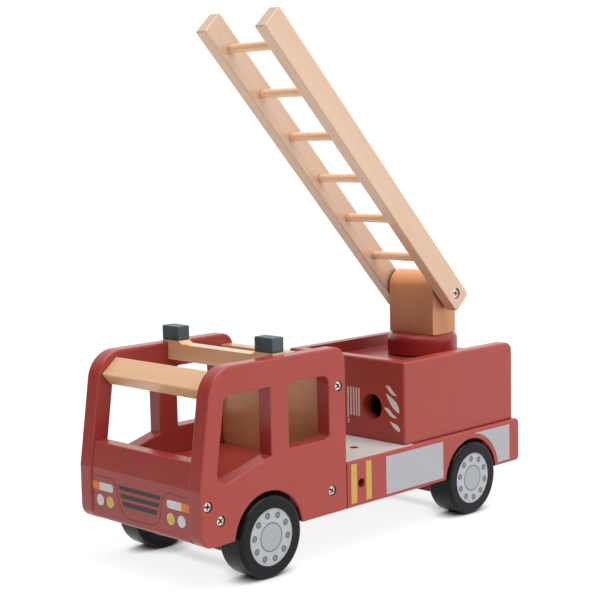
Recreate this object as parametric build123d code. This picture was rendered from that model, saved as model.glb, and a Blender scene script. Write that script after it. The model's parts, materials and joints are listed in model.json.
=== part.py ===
"""Wooden toy fire engine: a thick chassis block, a cab of two windowed side panels, a rear box
with a turning table, and a raising ladder. Millimetres, +X forward, +Y left, +Z up, ground z = 0."""
import os
from math import cos, radians, sin, tan

from build123d import *

# ---- overall ------------------------------------------------------------------------------
LENGTH = 280.0            # front edge of the cab panels to the back of the chassis block
BODY_WIDTH = 106.2        # across the cab side panels, and across the block behind them
EDGE_R = 0.8              # sanded edge of every board, bar and block
GLUE_GAP = 0.05           # all round a pin, rung, screw or hub fixed in its hole
RUN_GAP = 0.05            # all round a shaft that turns in its hole
FACE_GAP = 0.3            # between flat faces that slide past each other
FLAT = 0.01               # an edge this close to a plane lies in it

# ---- wheels and axles -----------------------------------------------------------------------
WHEEL_R = 23.3
TYRE_WIDTH = 18.4
TYRE_PROUD = 1.3          # tyre face outside the body side
TYRE_SHOULDER = 2.2       # rounding of both tyre edges
HUB_R = 16.2
HUB_SET_IN = 0.5          # hub faces behind the tyre faces
FRONT_AXLE_IN = 50.2      # behind the front edge of the cab panels
REAR_AXLE_IN = 51.4       # ahead of the rear end of the chassis block
AXLE_R = 2.0
AXLE_GRIP = 11.0          # axle length held inside each hub
ARCH_GAP = 2.3            # wheel arch round the tyre
ARCH_MOUTH_R = 1.5        # corners where an arch meets the bottom edge
POCKET_GAP = 0.6          # wheel pocket behind the tyre
AXLE_BLOCK_LENGTH = 20.0
AXLE_BLOCK_GAP = 1.9      # axle block ends inside the tyres
AXLE_BLOCK_DROP = 14.5    # below the chassis block

# ---- chassis block --------------------------------------------------------------------------
BLOCK_BOTTOM = 26.0
BLOCK_HEIGHT = 28.2
BLOCK_REAR_R = 3.0        # rear top and bottom edges
BLOCK_RIM_R = 1.4         # edges round both sides, behind the cab panels
PEG_HOLE_R = 2.8
PEG_HOLE_DEPTH = 12.0
SIDE_HOLE_BACK = 12.0     # behind the cab panels
DECK_HOLE_BACK = 3.9      # behind the middle of the open deck
DECK_HOLE_Y = 29.3

# ---- cab side panels ------------------------------------------------------------------------
PANEL_T = 10.0
PANEL_TOP = 122.5
PANEL_LENGTH = 113.0      # along the bottom edge
PANEL_EDGE_R = 1.2
WINDOW_EDGE_R = 0.8
LEAN_Z = 57.5             # the front edge leans back above this height
LEAN = 8.7                # degrees
PANEL_TOP_FRONT_R = 18.0
PANEL_TOP_REAR_R = 8.0
PANEL_BOTTOM_FRONT_R = 8.0
PANEL_BOTTOM_REAR_R = 2.5

DOOR_WINDOW_AHEAD = 60.2  # rear edge ahead of the panel's rear edge
DOOR_WINDOW_TOP = 107.0
DOOR_WINDOW_SILL = 68.3   # at its rear end
DOOR_SILL_FALL = 15.3     # degrees, the sill drops toward the front
DOOR_WINDOW_PILLAR = 11.5  # panel left in front of it
DOOR_WINDOW_LOW_R = 6.0
DOOR_WINDOW_TOP_R = 5.0

CREW_WINDOW_AHEAD = 14.0  # rear edge ahead of the panel's rear edge
CREW_WINDOW_LENGTH = 32.3
CREW_WINDOW_SILL = 70.5
CREW_WINDOW_TOP = 107.4
CREW_WINDOW_REAR_TOP_R = 5.0
CREW_WINDOW_REAR_LOW_R = 3.5
CREW_WINDOW_FRONT_TOP_R = 2.5

# ---- boards and bars between the panels -----------------------------------------------------
BOARD_T = 8.7
FRONT_INSET = 1.2         # front panel behind the side panels' front edges
FRONT_PANEL_BOTTOM = 27.5
FRONT_PANEL_TOP = 72.0
FRONT_PANEL_LOW_R = 3.0
VISOR_WIDTH = 14.0
VISOR_DROP = 11.6         # middle of its section below the panel tops
VISOR_INSET = 10.9        # middle behind the panels' leaning front edges
VISOR_TILT = 40.2         # degrees, its broad face looks forward and up
BACK_WALL_INSET = 1.5     # in front of the panels' rear edges
BACK_WALL_TOP = 116.2

LAMP_BAR_AHEAD = 48.3     # middle ahead of the panels' rear edges
LAMP_BAR_DROP = 10.1      # its underside below the panel tops
LAMP_BAR_TONGUE = 1.6     # thickness of the ends that lap over the panel tops
LAMP_BAR_LAP = 4.7        # how far they lap
SADDLE_DEPTH = 1.9
SADDLE_R = 5.5            # ends of the ladder saddle
LAMP_WIDTH = 14.8
LAMP_DEPTH = 9.1          # fore and aft, a little more than the bar
LAMP_HEIGHT = 8.6

# ---- rear box -------------------------------------------------------------------------------
BOX_LENGTH = 108.6
BOX_REAR_INSET = 3.4      # in from the rear end of the chassis block
BOX_SIDE_INSET = 3.1      # in from each side of the chassis block
BOX_TOP = 105.4
WALL_T = 8.0
BOX_RECESS = 7.6          # table board below the side and front wall tops
BOX_CORNER_R = 6.0        # top rear corners of the side walls
BOX_EDGE_R = 1.5          # outer edges of the walls
BOX_FRONT_R = 2.0         # top front corners of the side walls
BOX_FOOT_R = 0.6          # outer edges that stand on the chassis block
HOSE_HOLE_R = 8.0
HOSE_HOLE_Y = 23.4
HOSE_HOLE_Z = 75.2

# ---- turntable and post ---------------------------------------------------------------------
DISC_R = 23.2
DISC_INSET = 8.9          # ahead of the rear end of the box
DISC_HEIGHT = 13.9
DISC_RIM_R = 4.5
SPIGOT_R = 5.0
SPIGOT_CLEAR = 0.5        # spigot ends above the underside of the table board
POST_LENGTH = 22.8
POST_WIDTH = 37.4
POST_PIVOT = 27.2         # ladder pivot above the disc
POST_CROWN = 2.7          # middle of the rounded top above the pivot

# ---- ladder ---------------------------------------------------------------------------------
LADDER_ANGLE = 46.8       # degrees above level, as it stands
RAIL_T = 8.5
RAIL_HEIGHT = 16.4
RAIL_INNER_Y = 21.0
RAIL_TAIL = 9.3           # rail behind the pivot
RAIL_REACH = 235.2        # rail ahead of the pivot
RAIL_TAIL_R = 2.5
RAIL_TIP_R = 1.0
RUNG_R = 2.7
RUNG_SEAT = 5.0           # rung length in each rail
RUNG_COUNT = 6
RUNG_FIRST = 34.0         # from the pivot
RUNG_PITCH = 36.1

# ---- screws ---------------------------------------------------------------------------------
SCREW_R = 1.5
SCREW_HEAD_R = 2.5
SCREW_HEAD_H = 1.6
HEAD_SINK = 0.4           # heads below the face they are driven into
SCREW_LENGTH = 19.0       # under the head
HEAD_ROOM = 0.5           # counterbore round a head
CROSS_LENGTH = 3.2        # cross recess across the head
CROSS_WIDTH = 0.8
CROSS_DEPTH = 0.9
CHASSIS_SCREW_Z = 39.6
CHASSIS_SCREW_IN = 4.6    # front one, behind the front end of the chassis block
CHASSIS_SCREW_AHEAD = 12.4  # rear one, ahead of the panel's rear edge
FRONT_SCREW_Z = 49.0
WALL_SCREW_Z = 100.0
PIVOT_SCREW_R = 1.9
PIVOT_HEAD_R = 3.0
PIVOT_SINK = 0.7          # pivot screw heads below the rail sides
PIVOT_SCREW_GRIP = 12.0   # held in the post
PIVOT_WASHER_R = 6.0

# ---- positions that follow from the sizes above ---------------------------------------------
FRONT_X = LENGTH / 2
REAR_X = -LENGTH / 2
PANEL_REAR_X = FRONT_X - PANEL_LENGTH
FRONT_AXLE_X = FRONT_X - FRONT_AXLE_IN
REAR_AXLE_X = REAR_X + REAR_AXLE_IN
SIDE_Y = BODY_WIDTH / 2
INNER_Y = SIDE_Y - PANEL_T
DECK_Z = BLOCK_BOTTOM + BLOCK_HEIGHT
TYRE_OUTER_Y = SIDE_Y + TYRE_PROUD
TYRE_INNER_Y = TYRE_OUTER_Y - TYRE_WIDTH
ARCH_R = WHEEL_R + ARCH_GAP
POCKET_Y = TYRE_INNER_Y - POCKET_GAP
HUB_OUTER_Y = TYRE_OUTER_Y - HUB_SET_IN
HUB_INNER_Y = TYRE_INNER_Y + HUB_SET_IN
FRONT_FACE_X = FRONT_X - FRONT_INSET
BLOCK_FRONT_X = FRONT_FACE_X - BOARD_T
DOOR_WINDOW_REAR_X = PANEL_REAR_X + DOOR_WINDOW_AHEAD
CREW_WINDOW_REAR_X = PANEL_REAR_X + CREW_WINDOW_AHEAD
LAMP_BAR_X = PANEL_REAR_X + LAMP_BAR_AHEAD
BACK_WALL_X = PANEL_REAR_X + BACK_WALL_INSET
LAMP_BAR_BOTTOM = PANEL_TOP - LAMP_BAR_DROP
LAMP_BAR_TOP = PANEL_TOP + LAMP_BAR_TONGUE
VISOR_Z = PANEL_TOP - VISOR_DROP
LAMP_BAR_END_Y = INNER_Y + LAMP_BAR_LAP
BOX_REAR_X = REAR_X + BOX_REAR_INSET
BOX_FRONT_X = BOX_REAR_X + BOX_LENGTH
BOX_SIDE_Y = SIDE_Y - BOX_SIDE_INSET
TABLE_TOP = BOX_TOP - BOX_RECESS
TABLE_BOTTOM = TABLE_TOP - WALL_T
DISC_BOTTOM = TABLE_TOP + FACE_GAP
DISC_TOP = DISC_BOTTOM + DISC_HEIGHT
TURN_X = BOX_REAR_X + DISC_INSET + DISC_R
PIVOT_Z = DISC_TOP + POST_PIVOT
POST_Y = POST_WIDTH / 2
RAIL_OUTER_Y = RAIL_INNER_Y + RAIL_T


def outline(corners):
    """Closed XZ outline from rows of x, z and the corner's rounding radius (0 leaves it sharp)."""
    face = Polygon(*[(x, z) for x, z, radius in corners], align=None)
    for x, z, radius in corners:
        if radius:
            face = fillet(face.vertices().sort_by_distance((x, z, 0))[0], radius)
    return face


def across(face, y_from, y_to):
    """Board made by carrying an XZ outline from one Y plane to another."""
    return Pos(0, y_to, 0) * extrude(Plane.XZ * face, amount=y_to - y_from)


def block(x_from, x_to, y_from, y_to, z_from, z_to):
    """Rectangular block between its limits."""
    middle = Pos((x_from + x_to) / 2, (y_from + y_to) / 2, (z_from + z_to) / 2)
    return middle * Box(x_to - x_from, y_to - y_from, z_to - z_from)


def rod(x, z, radius, y_from, y_to):
    """Round bar, or the cutter for a hole, lying along Y."""
    return Pos(x, (y_from + y_to) / 2, z) * Rot(90, 0, 0) * Cylinder(radius, y_to - y_from)


def softened(solid, radius=EDGE_R):
    """Every edge of a plain block sanded to the same radius."""
    return fillet(solid.edges(), radius)


def edges_in_plane(solid, y):
    """Edges that lie wholly in one XZ plane."""
    return [e for e in solid.edges()
            if abs(e.bounding_box().min.Y - y) < FLAT and abs(e.bounding_box().max.Y - y) < FLAT]


def mirrored(solid):
    """The right-hand twin of a left-hand piece."""
    return mirror(solid, about=Plane.XZ)


parts = {}

# ---- chassis block: stepped in plan so the cab panels lie against its shoulders --------------
cab_length = block(PANEL_REAR_X, BLOCK_FRONT_X, -INNER_Y, INNER_Y, BLOCK_BOTTOM, DECK_Z)
rear_length = block(REAR_X, PANEL_REAR_X, -SIDE_Y, SIDE_Y, BLOCK_BOTTOM, DECK_Z)
rear_length = fillet(rear_length.edges().filter_by(Axis.Y).group_by(Axis.X)[0], BLOCK_REAR_R)
side_rims = edges_in_plane(rear_length, SIDE_Y) + edges_in_plane(rear_length, -SIDE_Y)
rear_length = fillet([e for e in side_rims if e.center().X < PANEL_REAR_X - EDGE_R], BLOCK_RIM_R)
chassis = cab_length + rear_length
for axle_x in (FRONT_AXLE_X, REAR_AXLE_X):
    chassis -= rod(axle_x, WHEEL_R, ARCH_R, POCKET_Y, SIDE_Y)
    chassis -= rod(axle_x, WHEEL_R, ARCH_R, -SIDE_Y, -POCKET_Y)
for side in (1, -1):
    hole_start, hole_end = sorted((side * SIDE_Y, side * (SIDE_Y - PEG_HOLE_DEPTH)))
    chassis -= rod(PANEL_REAR_X - SIDE_HOLE_BACK, CHASSIS_SCREW_Z, PEG_HOLE_R, hole_start, hole_end)
deck_hole_x = (PANEL_REAR_X + BOX_FRONT_X) / 2 - DECK_HOLE_BACK
deck_hole_z = DECK_Z - PEG_HOLE_DEPTH / 2
chassis -= Pos(deck_hole_x, DECK_HOLE_Y, deck_hole_z) * Cylinder(PEG_HOLE_R, PEG_HOLE_DEPTH)

# ---- cab side panel, with its two windows, wheel arch and rounded edges ----------------------
lean_run = tan(radians(LEAN))
panel = outline([
    # x, z, corner radius
    (FRONT_X, BLOCK_BOTTOM, PANEL_BOTTOM_FRONT_R),
    (FRONT_X, LEAN_Z, 0),
    (FRONT_X - lean_run * (PANEL_TOP - LEAN_Z), PANEL_TOP, PANEL_TOP_FRONT_R),
    (PANEL_REAR_X, PANEL_TOP, PANEL_TOP_REAR_R),
    (PANEL_REAR_X, BLOCK_BOTTOM, PANEL_BOTTOM_REAR_R),
])
panel -= Pos(FRONT_AXLE_X, WHEEL_R) * Circle(ARCH_R)
arch_half = (ARCH_R ** 2 - (BLOCK_BOTTOM - WHEEL_R) ** 2) ** 0.5
for mouth_x in (FRONT_AXLE_X - arch_half, FRONT_AXLE_X + arch_half):
    corner = panel.vertices().sort_by_distance((mouth_x, BLOCK_BOTTOM, 0))[0]
    panel = fillet(corner, ARCH_MOUTH_R)

door_front_foot = FRONT_X + lean_run * LEAN_Z - DOOR_WINDOW_PILLAR  # its front edge carried to z = 0
sill_drop = tan(radians(DOOR_SILL_FALL))
sill_zero = DOOR_WINDOW_SILL + sill_drop * DOOR_WINDOW_REAR_X
door_low_x = (door_front_foot - lean_run * sill_zero) / (1 - lean_run * sill_drop)
door_window = outline([
    # x, z, corner radius
    (DOOR_WINDOW_REAR_X, DOOR_WINDOW_SILL, EDGE_R),
    (door_low_x, sill_zero - sill_drop * door_low_x, DOOR_WINDOW_LOW_R),
    (door_front_foot - lean_run * DOOR_WINDOW_TOP, DOOR_WINDOW_TOP, DOOR_WINDOW_TOP_R),
    (DOOR_WINDOW_REAR_X, DOOR_WINDOW_TOP, EDGE_R),
])
crew_window_front_x = CREW_WINDOW_REAR_X + CREW_WINDOW_LENGTH
crew_window = outline([
    # x, z, corner radius
    (CREW_WINDOW_REAR_X, CREW_WINDOW_SILL, CREW_WINDOW_REAR_LOW_R),
    (crew_window_front_x, CREW_WINDOW_SILL, EDGE_R),
    (crew_window_front_x, CREW_WINDOW_TOP, CREW_WINDOW_FRONT_TOP_R),
    (CREW_WINDOW_REAR_X, CREW_WINDOW_TOP, CREW_WINDOW_REAR_TOP_R),
])
left_panel = across(panel, INNER_Y, SIDE_Y)
rim_edges = edges_in_plane(left_panel, SIDE_Y)
left_panel = fillet(rim_edges, PANEL_EDGE_R)
inner_rim = [e for e in edges_in_plane(left_panel, INNER_Y) if e.center().Z > DECK_Z]
left_panel = fillet(inner_rim, PANEL_EDGE_R)
for window in (door_window, crew_window):
    left_panel -= across(window, INNER_Y, SIDE_Y)
    low = window.bounding_box().min - Vector(EDGE_R, EDGE_R, 0)
    high = window.bounding_box().max + Vector(EDGE_R, EDGE_R, 0)
    window_rim = [e for e in edges_in_plane(left_panel, SIDE_Y) + edges_in_plane(left_panel, INNER_Y)
                  if low.X < e.center().X < high.X and low.Y < e.center().Z < high.Y]
    left_panel = fillet(window_rim, WINDOW_EDGE_R)

# ---- screws through the panels: name, x, z ---------------------------------------------------
panel_screws = [
    ("front", FRONT_FACE_X - BOARD_T / 2, FRONT_SCREW_Z),
    ("chassis_front", BLOCK_FRONT_X - CHASSIS_SCREW_IN, CHASSIS_SCREW_Z),
    ("chassis_rear", PANEL_REAR_X + CHASSIS_SCREW_AHEAD, CHASSIS_SCREW_Z),
    ("wall", BACK_WALL_X + BOARD_T / 2, WALL_SCREW_Z),
]


def screw(x, z, shank_r, head_r, face_y, length):
    """Cross-headed screw driven toward -Y, the face of its head at y = face_y."""
    seat_y = face_y - SCREW_HEAD_H
    body = rod(x, z, head_r, seat_y, face_y)
    body = fillet(edges_in_plane(body, face_y), SCREW_HEAD_H / 2)
    body += rod(x, z, shank_r, seat_y - length, seat_y)
    cut_y = face_y - CROSS_DEPTH
    arm = CROSS_LENGTH / 2
    half = CROSS_WIDTH / 2
    body -= block(x - arm, x + arm, cut_y, face_y, z - half, z + half)
    body -= block(x - half, x + half, cut_y, face_y, z - arm, z + arm)
    return body


screw_face_y = SIDE_Y - HEAD_SINK
screw_tip_y = screw_face_y - SCREW_HEAD_H - SCREW_LENGTH
screw_holes = {}
for name, x, z in panel_screws:
    left_panel -= rod(x, z, SCREW_HEAD_R + HEAD_ROOM, screw_face_y - SCREW_HEAD_H, SIDE_Y)
    hole = rod(x, z, SCREW_R + GLUE_GAP, screw_tip_y, SIDE_Y)
    left_panel -= hole
    screw_holes[name] = hole + mirrored(hole)
    one = screw(x, z, SCREW_R, SCREW_HEAD_R, screw_face_y, SCREW_LENGTH)
    parts[f"left_{name}_screw"] = one
    parts[f"right_{name}_screw"] = mirrored(one)
chassis -= screw_holes["chassis_front"] + screw_holes["chassis_rear"]
parts["chassis_block"] = chassis
parts["left_side_panel"] = left_panel
parts["right_side_panel"] = mirrored(left_panel)

# ---- front panel: upright below, leaning back with the side panels above ---------------------
front_top_x = FRONT_FACE_X - lean_run * (FRONT_PANEL_TOP - LEAN_Z)
front_panel = across(outline([
    # x, z, corner radius
    (FRONT_FACE_X, FRONT_PANEL_BOTTOM, FRONT_PANEL_LOW_R),
    (FRONT_FACE_X, LEAN_Z, 0),
    (front_top_x, FRONT_PANEL_TOP, EDGE_R),
    (front_top_x - BOARD_T, FRONT_PANEL_TOP, EDGE_R),
    (FRONT_FACE_X - BOARD_T, LEAN_Z, 0),
    (FRONT_FACE_X - BOARD_T, FRONT_PANEL_BOTTOM, EDGE_R),
]), -INNER_Y, INNER_Y)
parts["front_panel"] = front_panel - screw_holes["front"]

# ---- visor bar, lamp bar with its ladder saddle, lamp blocks, cab back wall ------------------
visor = Box(BOARD_T, 2 * INNER_Y, VISOR_WIDTH)
visor = fillet(visor.edges().filter_by(Axis.Y), EDGE_R)
visor_x = FRONT_X - lean_run * (VISOR_Z - LEAN_Z) - VISOR_INSET
parts["visor_bar"] = Pos(visor_x, 0, VISOR_Z) * Rot(0, -(90 - VISOR_TILT), 0) * visor

bar_half = BOARD_T / 2
lamp_bar = block(LAMP_BAR_X - bar_half, LAMP_BAR_X + bar_half, -INNER_Y, INNER_Y,
                 LAMP_BAR_BOTTOM, LAMP_BAR_TOP)
lamp_bar += block(LAMP_BAR_X - bar_half, LAMP_BAR_X + bar_half, -LAMP_BAR_END_Y, LAMP_BAR_END_Y,
                  PANEL_TOP, LAMP_BAR_TOP)
saddle_y = LAMP_BAR_END_Y - LAMP_WIDTH
saddle_z = LAMP_BAR_TOP - SADDLE_DEPTH
saddle_curve = (SADDLE_R ** 2 - (SADDLE_R - SADDLE_DEPTH) ** 2) ** 0.5
flat_y = saddle_y - saddle_curve
lamp_bar -= block(LAMP_BAR_X - bar_half, LAMP_BAR_X + bar_half, -flat_y, flat_y, saddle_z, LAMP_BAR_TOP)
for side in (1, -1):
    dip = Pos(LAMP_BAR_X, side * flat_y, saddle_z + SADDLE_R) * Rot(0, 90, 0) * Cylinder(SADDLE_R, BOARD_T)
    lamp_bar -= dip
parts["lamp_bar"] = lamp_bar

lamp_half = LAMP_DEPTH / 2
lamp = softened(block(LAMP_BAR_X - lamp_half, LAMP_BAR_X + lamp_half, saddle_y, LAMP_BAR_END_Y,
                      LAMP_BAR_TOP, LAMP_BAR_TOP + LAMP_HEIGHT))
parts["left_lamp_block"] = lamp
parts["right_lamp_block"] = mirrored(lamp)

back_wall = block(BACK_WALL_X, BACK_WALL_X + BOARD_T, -INNER_Y, INNER_Y, DECK_Z, BACK_WALL_TOP)
back_wall = fillet(back_wall.edges().filter_by(Axis.Y).group_by(Axis.Z)[-1], EDGE_R)
parts["cab_back_wall"] = back_wall - screw_holes["wall"]

# ---- rear box: side walls full length, end walls between them, table board over the rear wall -
wall_inner_y = BOX_SIDE_Y - WALL_T
side_wall = across(outline([
    # x, z, corner radius
    (BOX_REAR_X, DECK_Z, 0),
    (BOX_FRONT_X, DECK_Z, 0),
    (BOX_FRONT_X, BOX_TOP, BOX_FRONT_R),
    (BOX_REAR_X, BOX_TOP, BOX_CORNER_R),
]), wall_inner_y, BOX_SIDE_Y)
edge = [e for e in edges_in_plane(side_wall, BOX_SIDE_Y) if e.center().Z > DECK_Z + FLAT]
side_wall = fillet(edge, BOX_EDGE_R)
foot = side_wall.edges().filter_by_position(Axis.Z, DECK_Z, DECK_Z)
side_wall = fillet([e for e in foot if e.center().Y > wall_inner_y + FLAT], BOX_FOOT_R)
parts["left_box_wall"] = side_wall
parts["right_box_wall"] = mirrored(side_wall)
front_wall = block(BOX_FRONT_X - WALL_T, BOX_FRONT_X, -wall_inner_y, wall_inner_y, DECK_Z, BOX_TOP)
edge = front_wall.edges().filter_by(Axis.Y).group_by(Axis.Z)[-1].group_by(Axis.X)[-1]
front_wall = fillet(edge, BOX_FRONT_R)
edge = front_wall.edges().filter_by(Axis.Y).group_by(Axis.Z)[0].group_by(Axis.X)[-1]
front_wall = fillet(edge, BOX_FOOT_R)
hose_hole = Rot(0, 90, 0) * Cylinder(HOSE_HOLE_R, WALL_T)
hose_hole = Pos(BOX_FRONT_X - WALL_T / 2, HOSE_HOLE_Y, HOSE_HOLE_Z) * hose_hole
parts["front_box_wall"] = front_wall - hose_hole
rear_wall = block(BOX_REAR_X, BOX_REAR_X + WALL_T, -wall_inner_y, wall_inner_y, DECK_Z, TABLE_BOTTOM)
edge = rear_wall.edges().filter_by(Axis.Y).group_by(Axis.Z)[0].group_by(Axis.X)[0]
parts["rear_box_wall"] = fillet(edge, BOX_FOOT_R)
table = block(BOX_REAR_X, BOX_FRONT_X - WALL_T, -wall_inner_y, wall_inner_y, TABLE_BOTTOM, TABLE_TOP)
table = fillet(table.edges().filter_by(Axis.Y).group_by(Axis.Z)[-1].group_by(Axis.X)[0], BOX_EDGE_R)
table_bore = Pos(TURN_X, 0, (TABLE_BOTTOM + TABLE_TOP) / 2) * Cylinder(SPIGOT_R + RUN_GAP, WALL_T)
parts["table_board"] = table - table_bore

# ---- axle blocks, axles, hubs and tyres ------------------------------------------------------
tyre_bore_r = HUB_R + GLUE_GAP
tyre_ring = Rectangle(WHEEL_R - tyre_bore_r, TYRE_WIDTH)
tyre_ring = fillet(tyre_ring.vertices().group_by(Axis.X)[-1], TYRE_SHOULDER)
tyre_ring = Pos((WHEEL_R + tyre_bore_r) / 2, 0) * tyre_ring
tyre = revolve(tyre_ring, Axis.Y)
hub_width = HUB_OUTER_Y - HUB_INNER_Y
hub = Rot(90, 0, 0) * Cylinder(HUB_R, hub_width)
axle_half = HUB_INNER_Y + AXLE_GRIP
block_end_y = TYRE_INNER_Y - AXLE_BLOCK_GAP
for end, axle_x in (("front", FRONT_AXLE_X), ("rear", REAR_AXLE_X)):
    holder = block(axle_x - AXLE_BLOCK_LENGTH / 2, axle_x + AXLE_BLOCK_LENGTH / 2,
                   -block_end_y, block_end_y, BLOCK_BOTTOM - AXLE_BLOCK_DROP, BLOCK_BOTTOM)
    holder = fillet(holder.edges().filter_by(Axis.Y).group_by(Axis.Z)[0], EDGE_R)
    holder -= rod(axle_x, WHEEL_R, AXLE_R + RUN_GAP, -block_end_y, block_end_y)
    parts[f"{end}_axle_block"] = holder
    parts[f"{end}_axle"] = rod(axle_x, WHEEL_R, AXLE_R, -axle_half, axle_half)
    one_tyre = Pos(axle_x, (TYRE_OUTER_Y + TYRE_INNER_Y) / 2, WHEEL_R) * tyre
    one_hub = Pos(axle_x, (HUB_OUTER_Y + HUB_INNER_Y) / 2, WHEEL_R) * hub
    one_hub -= rod(axle_x, WHEEL_R, AXLE_R + GLUE_GAP, HUB_INNER_Y, axle_half)
    parts[f"{end}_left_tyre"] = one_tyre
    parts[f"{end}_right_tyre"] = mirrored(one_tyre)
    parts[f"{end}_left_hub"] = one_hub
    parts[f"{end}_right_hub"] = mirrored(one_hub)

# ---- turntable disc with its spigot, and the ladder post -------------------------------------
disc = Pos(TURN_X, 0, (DISC_BOTTOM + DISC_TOP) / 2) * Cylinder(DISC_R, DISC_HEIGHT)
disc = fillet(disc.edges().group_by(Axis.Z)[-1], DISC_RIM_R)
disc = fillet(disc.edges().group_by(Axis.Z)[0], EDGE_R)
spigot_foot = TABLE_BOTTOM + SPIGOT_CLEAR
disc += Pos(TURN_X, 0, (spigot_foot + DISC_BOTTOM) / 2) * Cylinder(SPIGOT_R, DISC_BOTTOM - spigot_foot)
parts["turntable_disc"] = disc

post_half = POST_LENGTH / 2
crown_z = PIVOT_Z + POST_CROWN
post = block(TURN_X - post_half, TURN_X + post_half, -POST_Y, POST_Y, DISC_TOP, crown_z)
post += rod(TURN_X, crown_z, post_half, -POST_Y, POST_Y)
pivot_tip_y = POST_Y - PIVOT_SCREW_GRIP
pivot_hole = rod(TURN_X, PIVOT_Z, PIVOT_SCREW_R + GLUE_GAP, pivot_tip_y, POST_Y)
parts["ladder_post"] = post - pivot_hole - mirrored(pivot_hole)

# ---- pivot screws and the washers between post and rails -------------------------------------
pivot_face_y = RAIL_OUTER_Y - PIVOT_SINK
pivot_length = pivot_face_y - SCREW_HEAD_H - pivot_tip_y
pivot_screw = screw(TURN_X, PIVOT_Z, PIVOT_SCREW_R, PIVOT_HEAD_R, pivot_face_y, pivot_length)
washer = rod(TURN_X, PIVOT_Z, PIVOT_WASHER_R, POST_Y, RAIL_INNER_Y - FACE_GAP)
washer -= rod(TURN_X, PIVOT_Z, PIVOT_SCREW_R + GLUE_GAP, POST_Y, RAIL_INNER_Y)
parts["left_pivot_screw"] = pivot_screw
parts["right_pivot_screw"] = mirrored(pivot_screw)
parts["left_pivot_washer"] = washer
parts["right_pivot_washer"] = mirrored(washer)

# ---- ladder, drawn level from the pivot and then raised --------------------------------------
rung_places = [RUNG_FIRST + RUNG_PITCH * i for i in range(RUNG_COUNT)]
rail_half = RAIL_HEIGHT / 2
rail = across(outline([
    # x, z, corner radius
    (-RAIL_TAIL, -rail_half, RAIL_TAIL_R),
    (RAIL_REACH, -rail_half, RAIL_TIP_R),
    (RAIL_REACH, rail_half, RAIL_TIP_R),
    (-RAIL_TAIL, rail_half, RAIL_TAIL_R),
]), RAIL_INNER_Y, RAIL_OUTER_Y)
rail = fillet(edges_in_plane(rail, RAIL_INNER_Y) + edges_in_plane(rail, RAIL_OUTER_Y), EDGE_R)
rail -= rod(0, 0, PIVOT_SCREW_R + RUN_GAP, RAIL_INNER_Y, RAIL_OUTER_Y)
rail -= rod(0, 0, PIVOT_HEAD_R + HEAD_ROOM, pivot_face_y - SCREW_HEAD_H - FACE_GAP, RAIL_OUTER_Y)
for place in rung_places:
    rail -= rod(place, 0, RUNG_R + GLUE_GAP, RAIL_INNER_Y, RAIL_INNER_Y + RUNG_SEAT)
raise_it = Pos(TURN_X, 0, PIVOT_Z) * Rot(0, -LADDER_ANGLE, 0)
parts["left_ladder_rail"] = raise_it * rail
parts["right_ladder_rail"] = raise_it * mirrored(rail)
rung_half = RAIL_INNER_Y + RUNG_SEAT
for number, place in enumerate(rung_places, start=1):
    parts[f"ladder_rung_{number}"] = raise_it * rod(place, 0, RUNG_R, -rung_half, rung_half)

os.makedirs("parts", exist_ok=True)
for name, solid in parts.items():
    export_step(solid, f"parts/{name}.step")
    size = solid.bounding_box()
    print(f"{name:26s} {solid.volume / 1000:8.2f} cm3  z {size.min.Z:7.2f} to {size.max.Z:7.2f}")
print(len(parts), "parts,", round(sum(solid.volume for solid in parts.values()) / 1e6, 4), "litres of solid")
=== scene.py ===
# %% [markdown]
# # Dressing a wooden toy fire engine
#
# The toy is a cab of two windowed side panels, a thick chassis block, a box with a turning table
# and a raising ladder. Its boards, wheels and joints come as a imported frame that already has the
# right sizes. This lesson adds what a frame can't say: the grain of the beech, the satin of the
# paint, the printed marks, the screw heads, the studio light and the camera.
#

# %% Load the frame
import json
import math

import bmesh
import bpy
import numpy as np
from mathutils import Matrix, Vector


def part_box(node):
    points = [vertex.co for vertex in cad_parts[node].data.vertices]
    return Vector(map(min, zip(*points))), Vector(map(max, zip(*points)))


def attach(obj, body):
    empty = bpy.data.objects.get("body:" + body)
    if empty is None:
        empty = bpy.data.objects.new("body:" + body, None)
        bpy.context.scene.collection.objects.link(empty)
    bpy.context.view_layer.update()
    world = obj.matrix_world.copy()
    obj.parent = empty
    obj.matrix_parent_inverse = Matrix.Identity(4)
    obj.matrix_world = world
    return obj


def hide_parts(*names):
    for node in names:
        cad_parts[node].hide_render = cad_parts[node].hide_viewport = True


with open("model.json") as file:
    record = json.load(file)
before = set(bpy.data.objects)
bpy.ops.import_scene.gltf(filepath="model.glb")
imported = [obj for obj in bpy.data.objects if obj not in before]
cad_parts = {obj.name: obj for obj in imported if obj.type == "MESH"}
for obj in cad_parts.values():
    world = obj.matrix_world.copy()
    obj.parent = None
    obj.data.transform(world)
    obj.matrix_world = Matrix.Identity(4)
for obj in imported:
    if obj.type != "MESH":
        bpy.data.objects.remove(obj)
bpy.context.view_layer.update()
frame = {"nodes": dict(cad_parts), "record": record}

MM = 0.001  # the frame is in metres, and the toy is easier to think of in millimetres
nodes = frame["nodes"]

# %% [markdown]
# ## Where things are
#
# Prints and screws sit on faces of the frame's boards. Their places could be typed in again, but
# a number that is written twice can disagree with itself. Reading the faces from the frame's own
# corners keeps every print on its board, even if a board's size changes later.

# %% Measure the faces that carry prints
def corners(node):
    """Lowest and highest corner of a frame node as two arrays of x, y, z in metres."""
    low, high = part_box(node)
    return np.array(low), np.array(high)


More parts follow.
